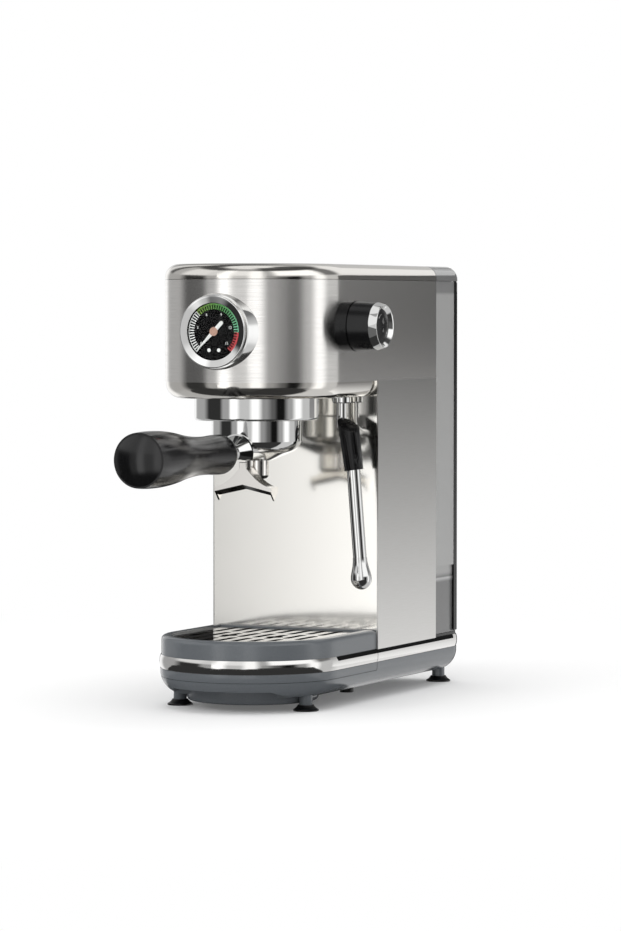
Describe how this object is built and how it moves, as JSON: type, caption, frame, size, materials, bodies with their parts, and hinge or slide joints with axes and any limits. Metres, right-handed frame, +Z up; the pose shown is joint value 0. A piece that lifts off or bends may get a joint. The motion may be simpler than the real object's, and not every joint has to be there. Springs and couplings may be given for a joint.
{
  "type": "pump espresso machine",
  "caption": "Slim pump espresso coffee maker with round-fronted head, pressure gauge, side knob, locking portafilter, steam wand, drip tray and rear tank.",
  "frame": {"origin": "on the table under the middle of the whole machine's box, handle, knob and tank included", "axes": "+Z up, -Y towards the user, +X towards the side with the knob and steam wand"},
  "size_m": [0.1598, 0.4062, 0.3075],
  "materials": {
    "base_plastic": "fine moulded blue-grey",
    "black_plastic": "moulded black",
    "handle_plastic": "satin black",
    "rubber": "black rubber",
    "silver_trim": "satin silver trim",
    "brushed_steel": "vertical reflections, brushed round",
    "side_steel": "fine brushed sheet",
    "polished_steel": "polished stainless steel",
    "chrome": "chromed",
    "wand_tip": "chromed",
    "gauge_glass": "clear",
    "dial_face": "matt black with marks",
    "needle_paint": "copper coloured",
    "tank_plastic": "smoke tinted clear plastic",
    "lid_plastic": "satin grey",
    "valve_plastic": "natural white",
    "zinc_sheet": "zinc plated",
    "boiler_alloy": "as cast",
    "pump_body": "glass-filled plastic",
    "board": "circuit board green",
    "silicone_tube": "translucent silicone",
    "pressure_pipe": "white fluoropolymer"
  },
  "bodies": {
    "machine": {"base_pan": "base_plastic", "foot_stems": "base_plastic", "suction_cups": "rubber", "underside_bumpers": "rubber", "side_strips": "silver_trim", "shadow_strips": "black_plastic", "tank_cradle": "black_plastic", "cord_gland": "rubber", "front_panel": "polished_steel", "column_side_left": "side_steel", "column_side_right": "side_steel", "back_wall": "black_plastic", "panel_screws": "polished_steel", "chassis": "zinc_sheet", "head_band": "brushed_steel", "head_floor": "polished_steel", "head_lid": "polished_steel", "gauge_housing": "chrome", "gauge_bezel": "chrome", "gauge_lens": "gauge_glass", "gauge_dial": "dial_face", "gauge_can": "zinc_sheet", "knob_collar": "black_plastic", "selector_switch": "black_plastic", "group_ring": "chrome", "brew_head": "boiler_alloy", "group_gasket": "rubber", "shower_screen": "polished_steel", "shower_screw": "polished_steel", "steam_nut": "chrome", "valve_socket": "valve_plastic", "pump": "pump_body", "pump_mounts": "black_plastic", "heater": "boiler_alloy", "control_board": "board", "water_hose": "silicone_tube", "pressure_tube": "pressure_pipe", "steam_tube": "pressure_pipe"},
    "knob": {"knob_barrel": "black_plastic", "knob_ring": "chrome", "knob_shaft": "zinc_sheet"},
    "needle": {"gauge_needle": "needle_paint"},
    "portafilter": {"portafilter_bowl": "chrome", "filter_basket": "polished_steel", "portafilter_handle": "handle_plastic", "handle_cap": "handle_plastic", "double_spout": "polished_steel"},
    "steam_arm": {"steam_pipe": "chrome", "steam_grip": "black_plastic", "steam_wand": "chrome", "steam_tip": "wand_tip"},
    "tray": {"drip_tray": "base_plastic", "tray_band": "silver_trim", "tray_shadow_strips": "black_plastic"},
    "grille": {"drip_grille": "polished_steel"},
    "tank": {"water_tank": "tank_plastic", "tank_back_panel": "black_plastic"},
    "lid": {"tank_lid": "lid_plastic"},
    "valve": {"tank_valve": "valve_plastic"}
  },
  "joints": [
    {"name": "knob_turn", "type": "hinge", "parent": "machine", "child": "knob", "pos_m": [0.05015, -0.01405, 0.2645], "axis": [1, 0, 0], "range_deg": [-90, 90]},
    {"name": "needle_sweep", "type": "hinge", "parent": "machine", "child": "needle", "pos_m": [-0.01485, -0.08785, 0.261], "axis": [0, 1, 0], "range_deg": [0, 270], "stiffness_Nm_per_rad": 0.0005, "springref_deg": -17.19},
    {"name": "portafilter_lock", "type": "hinge", "parent": "machine", "child": "portafilter", "pos_m": [-0.01485, -0.02105, 0.205], "axis": [0, 0, 1], "range_deg": [-45, 0]},
    {"name": "steam_swivel", "type": "hinge", "parent": "machine", "child": "steam_arm", "pos_m": [0.02655, 0.03075, 0.21], "axis": [0, 0, 1], "range_deg": [-60, 30]},
    {"name": "tray_slide", "type": "slide", "parent": "machine", "child": "tray", "axis": [0, -1, 0], "range_m": [0, 0.14]},
    {"name": "grille_lift", "type": "slide", "parent": "tray", "child": "grille", "axis": [0, 0, 1], "range_m": [0, 0.025]},
    {"name": "tank_lift", "type": "slide", "parent": "machine", "child": "tank", "axis": [0, 0, 1], "range_m": [0, 0.05]},
    {"name": "tank_lid_lift", "type": "slide", "parent": "tank", "child": "lid", "axis": [0, 0, 1], "range_m": [0, 0.04]},
    {"name": "tank_valve_lift", "type": "slide", "parent": "tank", "child": "valve", "axis": [0, 0, 1], "range_m": [0, 0.003], "stiffness_N_per_m": 50, "springref_m": -0.002}
  ]
}
